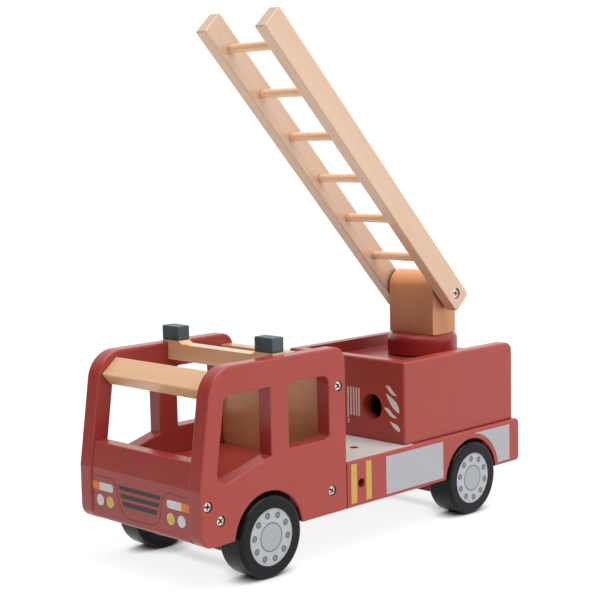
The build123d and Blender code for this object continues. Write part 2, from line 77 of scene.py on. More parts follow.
LOW, HIGH = 0, 1
X, Y, Z = 0, 1, 2
panel_low, panel_high = corners("left_side_panel")
side_y = panel_high[Y]
front_x = corners("front_panel")[HIGH][X]
box_front_x = corners("front_box_wall")[HIGH][X]
deck_z = corners("chassis_block")[HIGH][Z]
print(f"cab face x {front_x / MM:.1f}, sides y {side_y / MM:.1f}, box front x {box_front_x / MM:.1f} mm")

# %% [markdown]
# ## Skins from arrays
#
# Every new piece here is a row of closed rings joined into a skin: a print is its outline at the
# board and again a hair above it, and a screw is a stack of circles. One could model each by
# hand with extrudes and insets, but a formula can be read, checked and changed. NumPy works out
# all the points of a skin at once, and `from_pydata` turns them into a mesh.

# %% Rings to skins
def carry(rings, joined=False):
    """Skin over a row of closed rings of points.

    Point j of ring i makes a four-sided face with point j + 1 of the same ring and points j and
    j + 1 of ring i + 1. The last ring joins the first if joined, or else a flat cap closes each end.
    """
    rings = np.asarray(rings, float)
    rows, count = rings.shape[:2]
    number = np.arange(rows * count).reshape(rows, count)
    here = number if joined else number[:-1]
    ahead = np.roll(number, -1, axis=0) if joined else number[1:]
    cells = [here, np.roll(here, -1, axis=1), np.roll(ahead, -1, axis=1), ahead]
    sides = np.stack(cells, axis=-1).reshape(-1, 4)
    caps = [] if joined else [number[0][::-1], number[-1]]
    return rings.reshape(-1, 3), sides, caps


def piece(name, skins, body, finish, stands_for=(), crease=30.0):
    """One object from one or more skins, with its faces outward and its sharp edges kept sharp."""
    starts = np.cumsum([0] + [len(points) for points, _, _ in skins])
    faces = []
    for start, (_, sides, caps) in zip(starts, skins):
        faces += (sides + start).tolist() + [(cap + start).tolist() for cap in caps]
    mesh = bpy.data.meshes.new(name)
    mesh.from_pydata(np.concatenate([points for points, _, _ in skins]), [], faces)
    shell = bmesh.new()
    shell.from_mesh(mesh)
    bmesh.ops.recalc_face_normals(shell, faces=shell.faces)
    shell.to_mesh(mesh)
    shell.free()
    mesh.shade_smooth()
    mesh.set_sharp_from_angle(angle=math.radians(crease))
    mesh.materials.append(finish)
    made = bpy.data.objects.new(name, mesh)
    bpy.context.scene.collection.objects.link(made)
    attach(made, body)
    if stands_for:
        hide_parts(*stands_for)
    return made


print("skins are ready")

# %% [markdown]
# ## Outlines
#
# A printed bar has rounded ends, a lamp is a disc, and a flame is two curves that meet in points.
# Each outline is a closed row of flat points. Corners are rounded with true arcs, because a
# faceted corner shows as soon as someone looks closely.

# %% Rounded corners, bars, discs, curves and lines
def unit(vector):
    """The same direction with length 1."""
    return vector / np.linalg.norm(vector)


def rounded(rows, steps=6):
    """Closed outline through rows of a, b, corner radius.

    A corner whose half angle is h becomes an arc. Its ends lie radius / tan(h) from the corner,
    its centre radius / sin(h) along the bisector, and its points are the spherical blend of the
    two spokes from that centre.
    """
    rows = np.asarray(rows, float)
    outline = []
    for before, corner, after in zip(np.roll(rows, 1, axis=0), rows, np.roll(rows, -1, axis=0)):
        point, radius = corner[:2], corner[2]
        if radius == 0:
            outline.append(point[None])
            continue
        back, on = unit(before[:2] - point), unit(after[:2] - point)
        half = math.acos(np.dot(back, on)) / 2
        centre = point + unit(back + on) * radius / math.sin(half)
        first = point + back * radius / math.tan(half) - centre
        last = point + on * radius / math.tan(half) - centre
        sweep = math.pi - 2 * half
        share = np.linspace(0, 1, steps + 1)[:, None]
        arc = np.sin((1 - share) * sweep) * first + np.sin(share * sweep) * last
        outline.append(centre + arc / math.sin(sweep))
    return np.concatenate(outline)


def bar(a_from, a_to, b_from, b_to):
    """Square-cornered outline between its limits."""
    return np.array([(a_from, b_from), (a_to, b_from), (a_to, b_to), (a_from, b_to)])


def disc(a, b, radius, count=40):
    """Circle about a, b."""
    turn = np.linspace(0, 2 * np.pi, count, endpoint=False)
    return np.stack([a + radius * np.cos(turn), b + radius * np.sin(turn)], axis=1)


def bent(start, pull_1, pull_2, end, steps=12):
    """Cubic curve: the four points weighted (1-t)^3, 3t(1-t)^2, 3t^2(1-t) and t^3."""
    t = np.linspace(0, 1, steps, endpoint=False)[:, None]
    weights = ((1 - t) ** 3, 3 * t * (1 - t) ** 2, 3 * t ** 2 * (1 - t), t ** 3)
    points = (start, pull_1, pull_2, end)
    return sum(weight * np.array(point) for weight, point in zip(weights, points))


def strip(path, width):
    """Outline of a line of even width: the path moved half a width to each side of its direction."""
    along = np.gradient(path, axis=0)
    along /= np.linalg.norm(along, axis=1)[:, None]
    aside = np.stack([-along[:, 1], along[:, 0]], axis=1) * width / 2
    return np.concatenate([path + aside, (path - aside)[::-1]])


print("a rounded square has", len(rounded([(0, 0, 1), (9, 0, 1), (9, 9, 1), (0, 9, 1)])), "points")

# %% [markdown]
# ## Prints
#
# The grille, the lamps, the stripes and the silver panels are screen printed on the paint. They
# could be painted inside the red material with masks, but a print is a real layer of ink with
# its own edge, and a separate thin piece keeps that edge sharp at any distance. Each print is an
# outline that starts just inside the board and ends a twentieth of a millimetre outside it.

# %% Ink films
INK_T = 0.05 * MM     # how far the ink stands above the paint
INK_ROOT = 0.03 * MM  # how far its underside reaches into the paint


def ink_film(outline_mm, normal, at, outward=1):
    """Skin of a print: its flat outline, in millimetres, carried along the face's normal axis."""
    outline = np.asarray(outline_mm) * MM
    root, top = at - outward * INK_ROOT, at + outward * INK_T
    return carry([np.insert(outline, normal, level, axis=1) for level in (root, top)])


def ink_ring(a, b, inner, outer, normal, at, outward=1):
    """Skin of a printed ring: a four-cornered section carried round a circle."""
    root, top = at - outward * INK_ROOT, at + outward * INK_T
    section = ((root, inner), (root, outer), (top, outer), (top, inner))
    circles = [np.insert(disc(a, b, radius) * MM, normal, level, axis=1) for level, radius in section]
    return carry(circles, joined=True)


def both_sides(outline):
    """An outline drawn left of the middle line, and its mirror image on the right."""
    return [outline, outline * (-1, 1)]


print(f"a print stands {INK_T / MM:.2f} mm proud")

# %% [markdown]
# ## Node helpers
#
# A material is a small network, and writing each node on four lines hides the idea. `add` makes
# a node, sets its properties, and fills or links its inputs in one statement, so the code reads
# like the picture in the node editor.

# %% Adding and linking nodes
def add(tree, kind, inputs=(), **settings):
    """One node. Settings are its properties; inputs gives each socket a value, or an output to link."""
    made = tree.nodes.new(kind)
    for key, value in settings.items():
        setattr(made, key, value)
    for key, value in dict(inputs).items():
        if isinstance(value, bpy.types.NodeSocket):
            tree.links.new(value, made.inputs[key])
        else:
            made.inputs[key].default_value = value
    return made


def blend_colour(tree, share, low, high):
    """Output of a colour mix: low where share is 0, high where it is 1."""
    mix = add(tree, "ShaderNodeMix", data_type="RGBA")
    for socket, value in ((mix.inputs[0], share), (mix.inputs[6], low), (mix.inputs[7], high)):
        if isinstance(value, bpy.types.NodeSocket):
            tree.links.new(value, socket)
        else:
            socket.default_value = value
    return mix.outputs[2]


def group(name, inputs, outputs):
    """Empty node group with named sockets: inputs of (name, type, default), outputs of (name, type)."""
    tree = bpy.data.node_groups.new(name, "ShaderNodeTree")
    for label, kind, default in inputs:
        socket = tree.interface.new_socket(label, in_out="INPUT", socket_type="NodeSocket" + kind)
        if default is not None:
            socket.default_value = default
    for label, kind in outputs:
        tree.interface.new_socket(label, in_out="OUTPUT", socket_type="NodeSocket" + kind)
    return tree, tree.nodes.new("NodeGroupInput").outputs, tree.nodes.new("NodeGroupOutput").inputs


print("helpers are ready")

# %% [markdown]
# ## Edges and hollows, with painted light and shade
#
# A rounded edge catches light or holds a thin line of shadow, so it never looks quite like the
# faces, and the finishes paint that light and shade into the colour of their edges. The Bevel node
# finds edges on any mesh: it returns the normal that a rounded edge would have, and where that
# differs from the true normal, there is an edge. Where two painted boards meet flush it would
# draw a line too, so `Square` drops every place whose normal lies along an axis. Hollows get
# painted shade: ambient occlusion says how closed in a point is, and the colour darkens there.

# %% Group: edge and hollow masks for painted light and shade
edge_mask, source, sink = group(
    "Edge and hollow masks",
    [("Radius", "Float", 1.0 * MM), ("Gain", "Float", 3.0), ("Square", "Float", 0.0),
     ("Reach", "Float", 5.0 * MM)],
    [("Edge", "Float"), ("Painted hollow shade", "Float")])
soft = add(edge_mask, "ShaderNodeBevel", {"Radius": source["Radius"]}, samples=4)
true = add(edge_mask, "ShaderNodeNewGeometry")
agreement = add(edge_mask, "ShaderNodeVectorMath", {0: soft.outputs[0], 1: true.outputs["Normal"]},
                operation="DOT_PRODUCT")
lack = add(edge_mask, "ShaderNodeMath", {0: 1.0, 1: agreement.outputs["Value"]}, operation="SUBTRACT")
scaled = add(edge_mask, "ShaderNodeMath", {0: lack.outputs[0], 1: source["Gain"]},
             operation="MULTIPLY", use_clamp=True)
size = add(edge_mask, "ShaderNodeVectorMath", {0: true.outputs["Normal"]}, operation="ABSOLUTE")
parts = add(edge_mask, "ShaderNodeSeparateXYZ", {0: size.outputs[0]})
longer = add(edge_mask, "ShaderNodeMath", {0: parts.outputs[X], 1: parts.outputs[Y]}, operation="MAXIMUM")
longest = add(edge_mask, "ShaderNodeMath", {0: longer.outputs[0], 1: parts.outputs[Z]}, operation="MAXIMUM")
skew = add(edge_mask, "ShaderNodeMapRange", {"Value": longest.outputs[0], "From Min": 0.98, "From Max": 0.93})
free = add(edge_mask, "ShaderNodeMath", {0: 1.0, 1: source["Square"]}, operation="SUBTRACT")
kept = add(edge_mask, "ShaderNodeMath", {0: skew.outputs[0], 1: free.outputs[0]}, operation="MAXIMUM")
edge = add(edge_mask, "ShaderNodeMath", {0: scaled.outputs[0], 1: kept.outputs[0]}, operation="MULTIPLY")
# painted shade: the colour darkens where ambient occlusion finds a place closed in
open_sky = add(edge_mask, "ShaderNodeAmbientOcclusion", {"Distance": source["Reach"]}, samples=8)
painted_hollow_shade = add(edge_mask, "ShaderNodeMapRange",
             {"Value": open_sky.outputs["AO"], "From Min": 0.62, "From Max": 0.18})
edge_mask.links.new(edge.outputs[0], sink["Edge"])
edge_mask.links.new(painted_hollow_shade.outputs[0], sink["Painted hollow shade"])
print("edge and hollow group:", len(edge_mask.nodes), "nodes")

# %% [markdown]
# ## Beech
#
# Beech is pale and even. What tells it from plastic is small: soft bands of tone along the
# board, a fine fibre, and short brown flecks that all point along the grain. All three are noise
# squeezed along one axis, so the group wants its vector turned until the grain runs along X.

# %% Group: wood figure
wood_figure, source, sink = group(
    "Wood figure",
    [("Vector", "Vector", None), ("Pale", "Color", (0.8, 0.6, 0.4, 1)), ("Deep", "Color", (0.6, 0.4, 0.2, 1)),
     ("Fleck", "Color", (0.3, 0.15, 0.07, 1)), ("Fleck share", "Float", 0.5)],
    [("Color", "Color"), ("Height", "Float")])
BAND_SQUEEZE = (0.05, 1.0, 1.0)    # bands run twenty times as long as they are wide
FLECK_SQUEEZE = (0.16, 1.0, 1.0)   # and flecks six times
FIBRE_SHARE = 0.3                  # of the tone, the rest comes from the bands
long_bands = add(wood_figure, "ShaderNodeVectorMath", {0: source["Vector"], 1: BAND_SQUEEZE},
                 operation="MULTIPLY")
short_flecks = add(wood_figure, "ShaderNodeVectorMath", {0: source["Vector"], 1: FLECK_SQUEEZE},
                   operation="MULTIPLY")
bands = add(wood_figure, "ShaderNodeTexNoise",
            {"Vector": long_bands.outputs[0], "Scale": 150.0, "Detail": 3.0, "Roughness": 0.55,
             "Distortion": 0.6})
fibre = add(wood_figure, "ShaderNodeTexNoise",
            {"Vector": long_bands.outputs[0], "Scale": 1100.0, "Detail": 2.0, "Roughness": 0.6})
flecks = add(wood_figure, "ShaderNodeTexNoise",
             {"Vector": short_flecks.outputs[0], "Scale": 1500.0, "Detail": 1.0, "Roughness": 0.4})
tone = add(wood_figure, "ShaderNodeMath",
           {0: bands.outputs["Fac"], 1: 1 - FIBRE_SHARE}, operation="MULTIPLY")
tone_and_fibre = add(wood_figure, "ShaderNodeMath",
                     {0: fibre.outputs["Fac"], 1: FIBRE_SHARE, 2: tone.outputs[0]}, operation="MULTIPLY_ADD")
tone_range = add(wood_figure, "ShaderNodeMapRange",
                 {"Value": tone_and_fibre.outputs[0], "From Min": 0.32, "From Max": 0.68})
fleck_range = add(wood_figure, "ShaderNodeMapRange",
                  {"Value": flecks.outputs["Fac"], "From Min": 0.64, "From Max": 0.76})
fleck_share = add(wood_figure, "ShaderNodeMath",
                  {0: fleck_range.outputs[0], 1: source["Fleck share"]}, operation="MULTIPLY")
plain_wood = blend_colour(wood_figure, tone_range.outputs[0], source["Deep"], source["Pale"])
flecked_wood = blend_colour(wood_figure, fleck_share.outputs[0], plain_wood, source["Fleck"])
relief = add(wood_figure, "ShaderNodeMath",
             {0: fibre.outputs["Fac"], 1: fleck_range.outputs[0]}, operation="SUBTRACT")
wood_figure.links.new(flecked_wood, sink["Color"])
wood_figure.links.new(relief.outputs[0], sink["Height"])
print("wood figure group:", len(wood_figure.nodes), "nodes")

# %% [markdown]
# ## Sprayed paint and ink
#
# Toy paint is sprayed thin and dries with a faint orange peel. Its colour drifts a little across
# a board. One group gives both together, and every paint and ink of the toy uses it with two
# shades of its own.

# %% Group: paint skin
paint_skin, source, sink = group(
    "Paint skin",
    [("Vector", "Vector", None), ("Light", "Color", (0.8, 0.8, 0.8, 1)),
     ("Dark", "Color", (0.7, 0.7, 0.7, 1))],
    [("Color", "Color"), ("Height", "Float")])
drift = add(paint_skin, "ShaderNodeTexNoise",
            {"Vector": source["Vector"], "Scale": 38.0, "Detail": 3.0, "Roughness": 0.55})
drift_range = add(paint_skin, "ShaderNodeMapRange",
                  {"Value": drift.outputs["Fac"], "From Min": 0.3, "From Max": 0.7})
peel = add(paint_skin, "ShaderNodeTexNoise", {"Vector": source["Vector"], "Scale": 900.0, "Detail": 2.0})
drifting = blend_colour(paint_skin, drift_range.outputs[0], source["Dark"], source["Light"])
paint_skin.links.new(drifting, sink["Color"])
paint_skin.links.new(peel.outputs["Fac"], sink["Height"])
print("paint skin group:", len(paint_skin.nodes), "nodes")

# %% [markdown]
# ## Materials that are painted
#
# All paints share one recipe, so one function makes them. The shader stays in the material
# itself, and only what varies over the surface comes from the groups. On the rounded edges the red
# and slate paints take a lighter colour as a painted highlight, and the dark red a darker one.
# Inside the holes, painted shade makes the paint nearly dark. Polish hardly varies on a sprayed
# coat, so its roughness is one value. Where another finish varies it, the whole range stays on
# one side of 0.27: the denoiser takes smoother points for mirrors, and a texture that crosses
# that line leaves specks.

# %% Paint materials
def new_material(name):
    """Empty material: its tree, its shader and the object coordinates."""
    material = bpy.data.materials.new(name)
    material.use_nodes = True
    tree = material.node_tree
    tree.nodes.clear()
    shader = add(tree, "ShaderNodeBsdfPrincipled")
    add(tree, "ShaderNodeOutputMaterial", {"Surface": shader.outputs[0]})
    place = add(tree, "ShaderNodeTexCoord").outputs["Object"]
    return material, tree, shader, place


def shaded(colour, share):
    """A colour made lighter (share over 1) or darker, with alpha 1."""
    return tuple(min(1.0, part * share) for part in colour[:3]) + (1.0,)


SATIN = 0.26              # roughness of the red paints
PAINT_EDGE_R = 0.9 * MM   # how far in from an edge its own shade reaches
RELIEF = 0.1 * MM         # height of every fine bump: orange peel, fibre and grit


def skin_of(tree, place, colour, lighter=1.03, darker=0.96):
    """Paint skin node of one colour, which drifts between a lighter and a darker share of it."""
    return add(tree, "ShaderNodeGroup",
               {"Vector": place, "Light": shaded(colour, lighter), "Dark": shaded(colour, darker)},
               node_tree=paint_skin)


def painted(name, colour, roughness=SATIN, gloss=0.43, edge=None, peel=0.12):
    """Satin paint: drifting colour, a painted edge colour, painted shade in hollows, orange peel."""
    material, tree, shader, place = new_material(name)
    skin = skin_of(tree, place, colour)
    colour_out = skin.outputs["Color"]
    if edge:
        mask = add(tree, "ShaderNodeGroup", {"Radius": PAINT_EDGE_R, "Gain": 2.5, "Square": 1.0},
                   node_tree=edge_mask)
        # the edge colour: a painted highlight on the red and slate paints, a darker edge on the dark red
        colour_out = blend_colour(tree, mask.outputs["Edge"], colour_out, edge + (1.0,))
        # painted shade: holes and deep corners darken to a quarter of the colour
        colour_out = blend_colour(tree, mask.outputs["Painted hollow shade"], colour_out, shaded(colour, 0.25))
    bump = add(tree, "ShaderNodeBump",
               {"Height": skin.outputs["Height"], "Strength": peel, "Distance": RELIEF})
    tree.links.new(colour_out, shader.inputs["Base Color"])
    tree.links.new(bump.outputs[0], shader.inputs["Normal"])
    shader.inputs["Roughness"].default_value = roughness
    shader.inputs["Specular IOR Level"].default_value = gloss
    return material


RED = (0.35, 0.043, 0.033)
# painted highlight: the red is lighter on its rounded edges
RED_EDGE_PAINTED_HIGHLIGHT = (0.43, 0.08, 0.066)
DARK_RED = (0.36, 0.033, 0.031)
DARK_RED_EDGE = (0.30, 0.025, 0.025)
SLATE = (0.050, 0.078, 0.098)
# painted highlight: the slate is lighter on its rounded edges
SLATE_EDGE_PAINTED_HIGHLIGHT = (0.20, 0.27, 0.31)
HUB_GREY = (0.42, 0.44, 0.47)
finishes = {
    "red_paint": painted("Red_paint", RED, edge=RED_EDGE_PAINTED_HIGHLIGHT),
    "dark_red_paint": painted("Dark_red_paint", DARK_RED, gloss=0.33, edge=DARK_RED_EDGE),
    "slate_paint": painted("Slate_paint", SLATE, roughness=0.4, edge=SLATE_EDGE_PAINTED_HIGHLIGHT),
    "hub_grey": painted("Hub_grey_paint", HUB_GREY, roughness=0.5),
}
print("paints:", sorted(finishes))

# %% [markdown]
# ## Two colours on one block
#
# The chassis block is red, but the top between cab and box is masked off and sprayed white. The
# white needs no piece of its own: it is the same kind of paint on the same wood, so the block's
# material chooses between the two by where a point lies on the block.

# %% White deck
WHITE = (0.57, 0.55, 0.55)
DECK_BACK = box_front_x - 6.1 * MM   # the mask ended a little behind the box's front wall
DECK_RIM = 0.08 * MM                 # the white ends this far below the deck, on its rounded edge


def within(tree, value, low, high):
    """1 where value lies between low and high, else 0."""
    above = add(tree, "ShaderNodeMath", {0: value, 1: low}, operation="GREATER_THAN")
    below = add(tree, "ShaderNodeMath", {0: value, 1: high}, operation="LESS_THAN")
    both = add(tree, "ShaderNodeMath", {0: above.outputs[0], 1: below.outputs[0]}, operation="MULTIPLY")
    return both.outputs[0]


block_paint = painted("Red_paint_white_deck", RED, edge=RED_EDGE_PAINTED_HIGHLIGHT)
tree = block_paint.node_tree
shader = next(node for node in tree.nodes if node.type == "BSDF_PRINCIPLED")
red_out = shader.inputs["Base Color"].links[0].from_socket
place = next(node for node in tree.nodes if node.type == "TEX_COORD").outputs["Object"]
split = add(tree, "ShaderNodeSeparateXYZ", {0: place})
deck_length = within(tree, split.outputs[X], DECK_BACK, panel_low[X])
deck_height = within(tree, split.outputs[Z], deck_z - DECK_RIM, deck_z + DECK_RIM)
on_deck = add(tree, "ShaderNodeMath", {0: deck_length, 1: deck_height}, operation="MULTIPLY")
white_out = skin_of(tree, place, WHITE, lighter=1.02, darker=0.97).outputs["Color"]
tree.links.new(blend_colour(tree, on_deck.outputs[0], red_out, white_out), shader.inputs["Base Color"])
print(f"white deck from x {DECK_BACK / MM:.1f} to {panel_low[X] / MM:.1f} mm")

# %% [markdown]
# ## Materials that show the wood
#
# A board is sawn along its grain, so the ladder's rails show it running up the ladder, the bars
# show it across the cab, and the post shows it upright. One recipe serves them all with a
# Mapping node that turns the coordinates until the grain lies along X. No two boards come from
# the same tree, so each kind of board starts elsewhere in the noise. Each kind also has a tone of
# its own: the rungs and the lamp bar are lighter as painted light, the cab wall darker as painted
# shade, and the post darker and redder, partly its own wood and partly painted shade and a painted
# reflection of the red disc. A browner line along the edges and dark corners are painted shade.

# %% Beech materials
BEECH_PALE = (0.71, 0.485, 0.335)
BEECH_DEEP = (0.64, 0.42, 0.28)
BEECH_FLECK = (0.36, 0.17, 0.085)
# painted shade: a browner line along the edges, and dark corners
BEECH_EDGE_PAINTED_SHADE = (0.50, 0.27, 0.155)
BEECH_HOLLOW_PAINTED_SHADE = (0.10, 0.045, 0.025)
BEECH_EDGE_R = 0.6 * MM


def middle(node):
    """Centre of a frame node's box."""
    return sum(corners(node)) / 2


rung_run = middle("ladder_rung_6") - middle("ladder_rung_1")
LADDER_ANGLE = math.atan2(rung_run[Z], rung_run[X])


def bare_beech(name, turn, shift, flecks=0.12, tone=(1, 1, 1), gloss=0.75):
    """Varnished beech whose grain runs along X once the coordinates are turned and shifted."""
    material, tree, shader, place = new_material(name)
    turned = add(tree, "ShaderNodeMapping", {"Vector": place, "Rotation": turn, "Location": shift})
    figure = add(tree, "ShaderNodeGroup", {"Vector": turned.outputs[0], "Fleck share": flecks},
                 node_tree=wood_figure)
    for socket, shade in (("Pale", BEECH_PALE), ("Deep", BEECH_DEEP), ("Fleck", BEECH_FLECK)):
        figure.inputs[socket].default_value = tuple(np.multiply(shade, tone)) + (1.0,)
    mask = add(tree, "ShaderNodeGroup", {"Radius": BEECH_EDGE_R, "Gain": 2.2}, node_tree=edge_mask)
    height = figure.outputs["Height"]
    polish = add(tree, "ShaderNodeMapRange",
                 {"Value": height, "From Min": -1.0, "From Max": 1.0, "To Min": 0.26, "To Max": 0.20})
    bump = add(tree, "ShaderNodeBump", {"Height": height, "Strength": 0.1, "Distance": RELIEF})
    # painted shade on the edges and in the corners
    with_painted_edge_shade = blend_colour(tree, mask.outputs["Edge"], figure.outputs["Color"], BEECH_EDGE_PAINTED_SHADE + (1.0,))
    shown = blend_colour(tree, mask.outputs["Painted hollow shade"], with_painted_edge_shade, BEECH_HOLLOW_PAINTED_SHADE + (1.0,))
    tree.links.new(shown, shader.inputs["Base Color"])
    tree.links.new(polish.outputs[0], shader.inputs["Roughness"])
    tree.links.new(bump.outputs[0], shader.inputs["Normal"])
    shader.inputs["Specular IOR Level"].default_value = gloss
    return material


QUARTER = math.pi / 2
UP_LADDER, ACROSS, UPRIGHT = (0, LADDER_ANGLE, 0), (0, 0, -QUARTER), (0, QUARTER, 0)
rail_beech = bare_beech("Beech_along_ladder", UP_LADDER, (0.3, 0.1, 0.02))
cross_beech = bare_beech("Beech_across_cab", ACROSS, (0.1, 0.37, 0.2), tone=(1.06, 0.93, 0.77))
# painted light: the lamp bar's tone is raised to make it lighter
bar_beech_painted_light = bare_beech("Beech_lamp_bar_painted_light", ACROSS, (0.4, 0.3, 0.1), tone=(1.24, 1.10, 0.94))
# painted light: the rungs' tone is raised to make them lighter
rung_beech_painted_light = bare_beech("Beech_rungs_painted_light", ACROSS, (0.6, 0.2, 0.3), tone=(1.24, 1.14, 0.98))
# painted shade: the cab wall's tone is darker and deeper
wall_beech_painted_shade = bare_beech("Beech_cab_wall_painted_shade", ACROSS, (0.2, 0.1, 0.7),
                        flecks=0.3, tone=(0.88, 0.71, 0.49), gloss=0.4)
# the upright is darker and redder: partly its own wood, partly painted shade and a painted reflection of the
# red disc
post_beech_with_painted_shade = bare_beech("Beech_upright_with_painted_shade", UPRIGHT, (0.7, 0.2, 0.11),
                        flecks=0.5, tone=(1.08, 0.73, 0.50), gloss=0.4)
print("the ladder stands at", round(math.degrees(LADDER_ANGLE), 1), "degrees, and so does its grain")

# %% [markdown]
# ## Rubber, steel and fibre
#
# The tyres are plain moulded rubber: nearly black, with a bloom that makes the colour cloudy and a
# faint moulded texture. The screws and axles are plated steel, and the washers on the ladder's
# pivot are pressed fibre.

# %% Tyre, steel and washer materials
POLISH_SWING = 0.08   # roughness varies by this much both ways
TYRE_LIGHT, TYRE_DARK = (0.012, 0.011, 0.012), (0.007, 0.007, 0.008)
STEEL_LIGHT, STEEL_DARK = (0.82, 0.80, 0.76), (0.72, 0.70, 0.66)
FIBRE_LIGHT, FIBRE_DARK = (0.50, 0.40, 0.30), (0.40, 0.31, 0.23)


def clouded(name, light, dark, scale, roughness, metallic=0.0, bump_strength=0.15, gloss=0.5):
    """Plain matter whose colour and polish cloud between two levels, with a finer grit as bump."""
    material, tree, shader, place = new_material(name)
    cloud = add(tree, "ShaderNodeTexNoise",
                {"Vector": place, "Scale": scale, "Detail": 4.0, "Roughness": 0.6})
    level = add(tree, "ShaderNodeMapRange", {"Value": cloud.outputs["Fac"], "From Min": 0.3, "From Max": 0.7})
    polish = add(tree, "ShaderNodeMapRange",
                 {"Value": cloud.outputs["Fac"], "To Min": roughness - POLISH_SWING,
                  "To Max": roughness + POLISH_SWING})
    grit = add(tree, "ShaderNodeTexNoise", {"Vector": place, "Scale": 1800.0, "Detail": 2.0})
    bump = add(tree, "ShaderNodeBump",
               {"Height": grit.outputs["Fac"], "Strength": bump_strength, "Distance": RELIEF})
    clouds = blend_colour(tree, level.outputs[0], dark + (1.0,), light + (1.0,))
    tree.links.new(clouds, shader.inputs["Base Color"])
    tree.links.new(polish.outputs[0], shader.inputs["Roughness"])
    tree.links.new(bump.outputs[0], shader.inputs["Normal"])
    shader.inputs["Metallic"].default_value = metallic
    shader.inputs["Specular IOR Level"].default_value = gloss
    return material


finishes["tyre"] = clouded("Tyre_rubber", TYRE_LIGHT, TYRE_DARK, 90.0, 0.18, gloss=0.15)
finishes["steel"] = clouded("Plated_steel", STEEL_LIGHT, STEEL_DARK, 400.0, 0.18, metallic=1.0,
                            bump_strength=0.03)
finishes["washer"] = clouded("Fibre_washer", FIBRE_LIGHT, FIBRE_DARK, 300.0, 0.7)
print("finishes:", sorted(finishes))

# %% [markdown]
# ## Giving each board its finish
#
# The record that comes with the frame says which slot each node is painted from. A loop hands
# each node the finish of its slot, unless its grain, its second colour or its painted light and
# shade calls for one of its own.

# %% Dress the frame
own_finish = {"ladder_post": post_beech_with_painted_shade, "left_ladder_rail": rail_beech, "right_ladder_rail": rail_beech,
              "lamp_bar": bar_beech_painted_light, "cab_back_wall": wall_beech_painted_shade, "chassis_block": block_paint}
own_finish.update((node, rung_beech_painted_light) for node in nodes if node.startswith("ladder_rung_"))
finishes["beech"] = cross_beech
for part in frame["record"]["subparts"]:
    node = part["node"]
    for holder in nodes[node].material_slots:
        holder.material = own_finish.get(node, finishes[part["material_slot"]])

# %% [markdown]
# ## Inks
#
# The inks are flatter and harder than the paint under them. They use the same paint group
# without the painted edge colour and the painted shade in hollows. Every print on a flat face is
# a list of outlines in one ink, so one function makes them all.

# %% Ink colours
ink_shades = {
    "white": (0.70, 0.66, 0.67),
    "silver": (0.40, 0.40, 0.43),
    "yellow": (0.54, 0.34, 0.075),
    "lamp_yellow": (0.68, 0.52, 0.06),
    "amber": (0.80, 0.22, 0.045),
    "grille_grey": (0.050, 0.044, 0.048),
    "seam": (0.12, 0.03, 0.03),
    "bolt_dark": (0.13, 0.14, 0.155),
    "bolt_grey": (0.21, 0.225, 0.24),
    "hub_line": (0.14, 0.15, 0.17),
    "hub_centre": (0.36, 0.375, 0.40),
    "hose_cream": (0.64, 0.54, 0.50),
}
ink = {name: painted("Ink_" + name, shade, roughness=0.5, gloss=0.3, peel=0.05)
       for name, shade in ink_shades.items()}


def print_marks(name, outlines, normal, at, shade, outward=1):
    """One piece of ink on a flat face of the chassis, from outlines in millimetres."""
    films = [ink_film(outline, normal, at, outward) for outline in outlines]
    return piece(name, films, "chassis", ink[shade])


print("inks:", ", ".join(sorted(ink)))

# %% [markdown]
# ## The face of the cab
#
# The front panel carries a grille of three bars and a thin line for the bonnet. Their outlines
# are given as distance from the middle line and height above the ground, so that half a drawing
# is enough: the other half is its mirror image.

# %% Grille and bonnet line
GRILLE_BARS = [  # half width at top, height of top, half width at bottom, height of bottom
    (18.75, 50.3, 17.7, 47.9),
    (17.35, 45.85, 16.3, 43.4),
    (15.8, 41.6, 14.8, 38.9),
]
SEAM_WIDTH = 0.36
BONNET = [  # left half: distance from the middle line, height, corner radius
    (42.0, 52.9, 0), (24.6, 52.9, 3.0), (20.4, 49.7, 2.0),
    (17.8, 39.1, 3.0), (15.7, 34.3, 3.0), (10.5, 32.4, 2.5),
]
bars = [[(-top, high), (top, high), (bottom, low), (-bottom, low)] for top, high, bottom, low in GRILLE_BARS]
right_half = [(-y, z, radius) for y, z, radius in BONNET[::-1]]
seam = strip(rounded(BONNET + right_half, steps=5), SEAM_WIDTH)
print_marks("grille_print", bars, X, front_x, "grille_grey")
print_marks("bonnet_line_print", [seam], X, front_x, "seam")
print("cab face:", len(bars), "grille bars and a line", SEAM_WIDTH, "mm wide")

# %% [markdown]
# ## Lamps
#
# Each side has a long lamp, amber outside and white inside, over two round ones. The round lamp
# nearer the middle is yellow in a cream rim: the rim is a ring of its own rather than a larger
# disc under the yellow, because two films of ink at one height would flicker.

# %% Long and round lamps
LONG_OUTER_Y, LONG_JOINT_Y, LONG_INNER_Y = 42.6, 36.1, 23.8   # amber lies outside the joint
LONG_LOW, LONG_TOP, LONG_R = 44.8, 49.4, 1.6
ROUND_OUTER_Y, ROUND_INNER_Y, ROUND_Z = 35.9, 26.9, 39.0
LAMP_R = 3.3
YELLOW_R = 2.75
amber_end = bar(LONG_JOINT_Y, LONG_OUTER_Y, LONG_LOW, LONG_TOP)
white_end = rounded([(LONG_JOINT_Y, LONG_LOW, 0), (LONG_JOINT_Y, LONG_TOP, 0),
                     (LONG_INNER_Y, LONG_TOP, LONG_R), (LONG_INNER_Y, LONG_LOW, LONG_R)])
white_lamps = both_sides(white_end) + both_sides(disc(ROUND_OUTER_Y, ROUND_Z, LAMP_R))
yellow_lamps = both_sides(disc(ROUND_INNER_Y, ROUND_Z, YELLOW_R))
rims = [ink_ring(y, ROUND_Z, YELLOW_R, LAMP_R, X, front_x) for y in (ROUND_INNER_Y, -ROUND_INNER_Y)]
